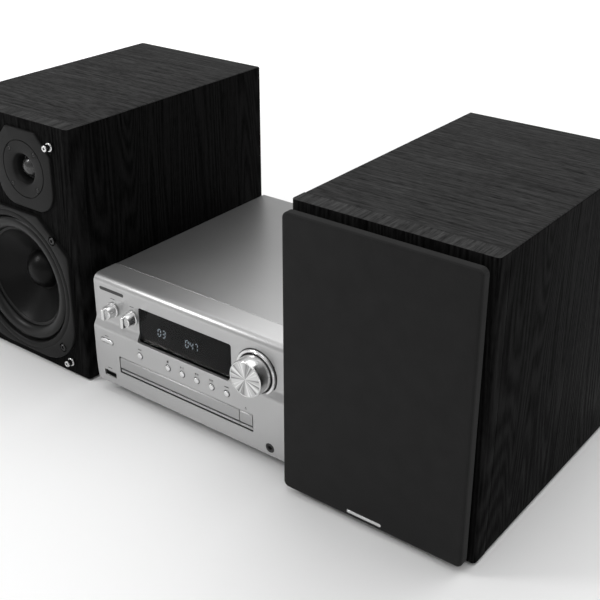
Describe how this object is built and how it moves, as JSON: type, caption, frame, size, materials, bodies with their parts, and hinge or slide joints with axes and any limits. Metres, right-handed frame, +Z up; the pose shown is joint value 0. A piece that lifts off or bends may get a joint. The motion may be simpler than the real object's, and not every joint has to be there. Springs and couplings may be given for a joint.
{
  "type": "mini hifi system",
  "caption": "Compact disc receiver with a silver front, tone and volume knobs and a motor tray, between two black wood-grain shelf speakers, one with its grille on.",
  "frame": {"origin": "middle of the set's footprint, on the surface it stands on", "axes": "+X to the right along the row of boxes, +Y to the back, +Z up; the fronts face -Y"},
  "size_m": [0.558, 0.2676, 0.238],
  "materials": {
    "front_silver": "satin",
    "cover_silver": "satin",
    "chassis_steel": "satin",
    "rear_black": "matte",
    "display_lens": "gloss",
    "display_body": "matte",
    "circuit_board": "satin",
    "transformer": "satin",
    "black_moulding": "matte",
    "door_silver": "satin",
    "spindle_metal": "satin",
    "gear_plastic": "satin",
    "knob_aluminium": "polished",
    "button_silver": "polished",
    "port_metal": "satin",
    "rubber_feet": "matte",
    "wood_vinyl": "satin",
    "baffle_vinyl": "satin",
    "driver_plate": "matte",
    "magnet_steel": "satin",
    "rubber_surround": "matte",
    "cone_paper": "satin",
    "dome_silk": "satin",
    "stud_chrome": "polished",
    "terminal_brass": "polished",
    "grille_board": "matte",
    "grille_fabric": "matte"
  },
  "bodies": {
    "main_unit": {"chassis": "chassis_steel", "top_cover": "cover_silver", "rear_panel": "rear_black", "front_panel": "front_silver", "front_rim": "front_silver", "front_sill": "front_silver", "display_window": "display_lens", "display_module": "display_body", "main_board": "circuit_board", "power_supply": "transformer", "loader_frame": "black_moulding", "usb_port": "port_metal", "headphone_jack": "black_moulding", "rear_sockets": "black_moulding", "speaker_terminals": "black_moulding", "unit_feet": "rubber_feet"},
    "volume_knob": {"volume_knob": "knob_aluminium"},
    "bass_knob": {"bass_knob": "knob_aluminium"},
    "treble_knob": {"treble_knob": "knob_aluminium"},
    "power_button": {"power_button": "button_silver"},
    "selector_button": {"selector_button": "button_silver"},
    "stop_button": {"stop_button": "button_silver"},
    "play_button": {"play_button": "button_silver"},
    "skip_back_button": {"skip_back_button": "button_silver"},
    "skip_ahead_button": {"skip_ahead_button": "button_silver"},
    "usb_button": {"usb_button": "button_silver"},
    "eject_button": {"eject_button": "door_silver"},
    "disc_tray": {"disc_tray": "black_moulding", "tray_door": "door_silver"},
    "disc_spindle": {"disc_spindle": "spindle_metal"},
    "laser_sled": {"laser_sled": "black_moulding"},
    "loading_gear": {"loading_gear": "gear_plastic"},
    "left_speaker": {"left_cabinet": "wood_vinyl", "left_baffle": "baffle_vinyl", "left_woofer_frame": "driver_plate", "left_woofer_magnet": "magnet_steel", "left_woofer_suspension": "rubber_surround", "left_tweeter_plate": "driver_plate", "left_super_tweeter": "driver_plate", "left_grille_studs": "stud_chrome", "left_port_tube": "black_moulding", "left_terminal_cup": "black_moulding", "left_terminal_sockets": "terminal_brass", "left_pads": "rubber_feet"},
    "left_woofer_cone": {"left_woofer_cone": "cone_paper"},
    "left_tweeter_dome": {"left_tweeter_dome": "dome_silk"},
    "right_speaker": {"right_cabinet": "wood_vinyl", "right_baffle": "baffle_vinyl", "right_woofer_frame": "driver_plate", "right_woofer_magnet": "magnet_steel", "right_woofer_suspension": "rubber_surround", "right_tweeter_plate": "driver_plate", "right_super_tweeter": "driver_plate", "right_grille_studs": "stud_chrome", "right_port_tube": "black_moulding", "right_terminal_cup": "black_moulding", "right_terminal_sockets": "terminal_brass", "right_pads": "rubber_feet"},
    "right_woofer_cone": {"right_woofer_cone": "cone_paper"},
    "right_tweeter_dome": {"right_tweeter_dome": "dome_silk"},
    "grille": {"grille_frame": "grille_board", "grille_cloth": "grille_fabric"}
  },
  "joints": [
    {"name": "volume_turn", "type": "hinge", "parent": "main_unit", "child": "volume_knob", "pos_m": [0.08, -0.12225, 0.083], "axis": [0, 1, 0], "continuous": true},
    {"name": "bass_turn", "type": "hinge", "parent": "main_unit", "child": "bass_knob", "pos_m": [-0.0785, -0.12025, 0.0865], "axis": [0, 1, 0], "range_deg": [-140, 140]},
    {"name": "treble_turn", "type": "hinge", "parent": "main_unit", "child": "treble_knob", "pos_m": [-0.0555, -0.12025, 0.086], "axis": [0, 1, 0], "range_deg": [-140, 140]},
    {"name": "power_press", "type": "slide", "parent": "main_unit", "child": "power_button", "axis": [0, 1, 0], "range_m": [0, 0.0008], "stiffness_N_per_m": 300, "springref_m": -0.001},
    {"name": "selector_press", "type": "slide", "parent": "main_unit", "child": "selector_button", "axis": [0, 1, 0], "range_m": [0, 0.0008], "stiffness_N_per_m": 300, "springref_m": -0.001},
    {"name": "stop_press", "type": "slide", "parent": "main_unit", "child": "stop_button", "axis": [0, 1, 0], "range_m": [0, 0.0008], "stiffness_N_per_m": 300, "springref_m": -0.001},
    {"name": "play_press", "type": "slide", "parent": "main_unit", "child": "play_button", "axis": [0, 1, 0], "range_m": [0, 0.0008], "stiffness_N_per_m": 300, "springref_m": -0.001},
    {"name": "skip_back_press", "type": "slide", "parent": "main_unit", "child": "skip_back_button", "axis": [0, 1, 0], "range_m": [0, 0.0008], "stiffness_N_per_m": 300, "springref_m": -0.001},
    {"name": "skip_ahead_press", "type": "slide", "parent": "main_unit", "child": "skip_ahead_button", "axis": [0, 1, 0], "range_m": [0, 0.0008], "stiffness_N_per_m": 300, "springref_m": -0.001},
    {"name": "usb_press", "type": "slide", "parent": "main_unit", "child": "usb_button", "axis": [0, 1, 0], "range_m": [0, 0.0008], "stiffness_N_per_m": 300, "springref_m": -0.001},
    {"name": "eject_press", "type": "slide", "parent": "main_unit", "child": "eject_button", "axis": [0, 1, 0], "range_m": [0, 0.0008], "stiffness_N_per_m": 300, "springref_m": -0.001},
    {"name": "tray_slide", "type": "slide", "parent": "main_unit", "child": "disc_tray", "axis": [0, -1, 0], "range_m": [0, 0.13]},
    {"name": "loading_gear_turn", "type": "hinge", "parent": "main_unit", "child": "loading_gear", "pos_m": [-0.05445, -0.09625, 0.033], "axis": [0, 0, 1], "range_deg": [-5, 860]},
    {"name": "disc_spin", "type": "hinge", "parent": "main_unit", "child": "disc_spindle", "pos_m": [-0.0032, -0.04225, 0.038], "axis": [0, 0, 1], "continuous": true},
    {"name": "sled_slide", "type": "slide", "parent": "main_unit", "child": "laser_sled", "axis": [0, 1, 0], "range_m": [0, 0.033]},
    {"name": "left_speaker_place", "type": "slide", "parent": "main_unit", "child": "left_speaker", "axis": [-1, 0, 0], "range_m": [0, 0.3]},
    {"name": "left_cone_stroke", "type": "slide", "parent": "left_speaker", "child": "left_woofer_cone", "axis": [0, 1, 0], "range_m": [-0.003, 0.003], "stiffness_N_per_m": 1200, "deforming": ["left_woofer_suspension"]},
    {"name": "left_dome_stroke", "type": "slide", "parent": "left_speaker", "child": "left_tweeter_dome", "axis": [0, 1, 0], "range_m": [-0.0003, 0.0003], "stiffness_N_per_m": 1500},
    {"name": "right_speaker_place", "type": "slide", "parent": "main_unit", "child": "right_speaker", "axis": [1, 0, 0], "range_m": [0, 0.3]},
    {"name": "right_cone_stroke", "type": "slide", "parent": "right_speaker", "child": "right_woofer_cone", "axis": [0, 1, 0], "range_m": [-0.003, 0.003], "stiffness_N_per_m": 1200, "deforming": ["right_woofer_suspension"]},
    {"name": "right_dome_stroke", "type": "slide", "parent": "right_speaker", "child": "right_tweeter_dome", "axis": [0, 1, 0], "range_m": [-0.0003, 0.0003], "stiffness_N_per_m": 1500},
    {"name": "grille_pull", "type": "slide", "parent": "right_speaker", "child": "grille", "axis": [0, -1, 0], "range_m": [0, 0.05]}
  ],
  "couplings": [
    {"joint": "loading_gear_turn", "follows": "tray_slide", "rad_per_m": 114.29}
  ]
}
